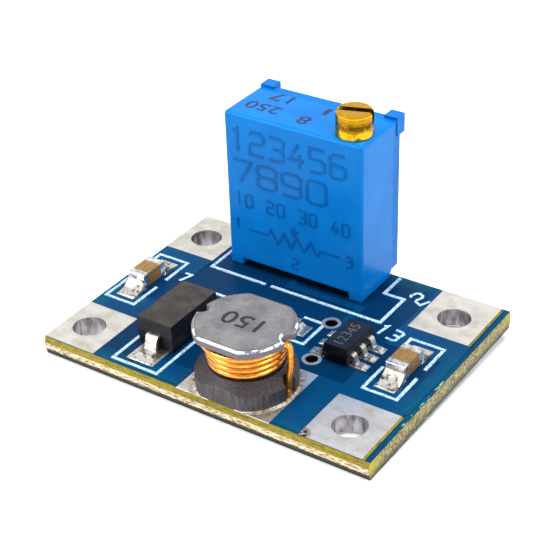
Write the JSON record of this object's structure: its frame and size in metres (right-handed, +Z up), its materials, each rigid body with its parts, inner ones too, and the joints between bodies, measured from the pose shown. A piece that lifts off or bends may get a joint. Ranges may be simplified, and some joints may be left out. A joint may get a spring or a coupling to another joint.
{
  "type": "boost converter module",
  "caption": "Small step-up voltage converter board with a drum inductor, switching chip, diode, ceramic capacitors and a multi-turn trimmer with a slotted brass screw.",
  "frame": {"origin": "centre of the four corner holes, on the board's underside", "axes": "+X along the board from the output end to the input end, +Y from the inductor's edge to the trimmer's edge, +Z up through the component side"},
  "size_m": [0.022, 0.0174, 0.0138],
  "materials": {
    "laminate": "sawn glass-fibre laminate, speckled",
    "copper": "etched copper foil",
    "mask": "glossy blue lacquer",
    "ink": "matte white ink",
    "tinned_copper": "levelled tin, slightly uneven",
    "ferrite": "pressed and sintered, fine grain",
    "enamelled_copper": "clear amber enamel",
    "tin": "plated, satin",
    "solder": "bright, flowed",
    "moulding": "moulded epoxy, fine matte",
    "silicon": "polished",
    "capacitor_ceramic": "fired, satin",
    "alumina": "fired, matte",
    "dark_glaze": "printed and fired",
    "silver_film": "printed and fired",
    "blue_plastic": "moulded, satin",
    "brass": "turned, lightly worn",
    "rubber": "matte",
    "natural_nylon": "moulded, satin",
    "contact_alloy": "stamped sheet, bright"
  },
  "bodies": {
    "module": {"board_laminate": "laminate", "copper_top": "copper", "copper_bottom": "copper", "solder_mask_top": "mask", "solder_mask_bottom": "mask", "silkscreen_top": "ink", "input_plus_pad": "tinned_copper", "input_minus_pad": "tinned_copper", "output_plus_pad": "tinned_copper", "output_minus_pad": "tinned_copper", "component_lands": "tinned_copper", "via_plating": "tinned_copper", "trimmer_hole_plating": "tinned_copper", "inductor_core": "ferrite", "inductor_winding": "enamelled_copper", "inductor_terminals": "tin", "inductor_solder": "solder", "chip_body": "moulding", "chip_leads": "tin", "chip_die": "silicon", "chip_solder": "solder", "diode_body": "moulding", "diode_leads": "tin", "diode_die": "silicon", "diode_solder": "solder", "input_capacitor_ceramic": "capacitor_ceramic", "input_capacitor_ends": "tin", "input_capacitor_solder": "solder", "output_capacitor_ceramic": "capacitor_ceramic", "output_capacitor_ends": "tin", "output_capacitor_solder": "solder", "resistor_body": "alumina", "resistor_coat": "dark_glaze", "resistor_ends": "tin", "resistor_solder": "solder", "trimmer_housing": "blue_plastic", "trimmer_back_cover": "blue_plastic", "trimmer_seal_ring": "rubber", "trimmer_element_plate": "alumina", "trimmer_resistive_track": "dark_glaze", "trimmer_collector_track": "silver_film", "trimmer_pins": "tin", "trimmer_solder": "solder"},
    "adjusting_screw": {"trimmer_adjusting_screw": "brass"},
    "wiper": {"trimmer_wiper_carriage": "natural_nylon", "trimmer_wiper_contact": "contact_alloy"}
  },
  "joints": [
    {"name": "screw_turn", "type": "hinge", "parent": "module", "child": "adjusting_screw", "pos_m": [0.00226, 0.00572, 0], "axis": [0, 0, 1], "range_deg": [-4500, 4500]},
    {"name": "wiper_travel", "type": "slide", "parent": "module", "child": "wiper", "axis": [0, 0, 1], "range_m": [-0.00276, 0.00276]}
  ]
}
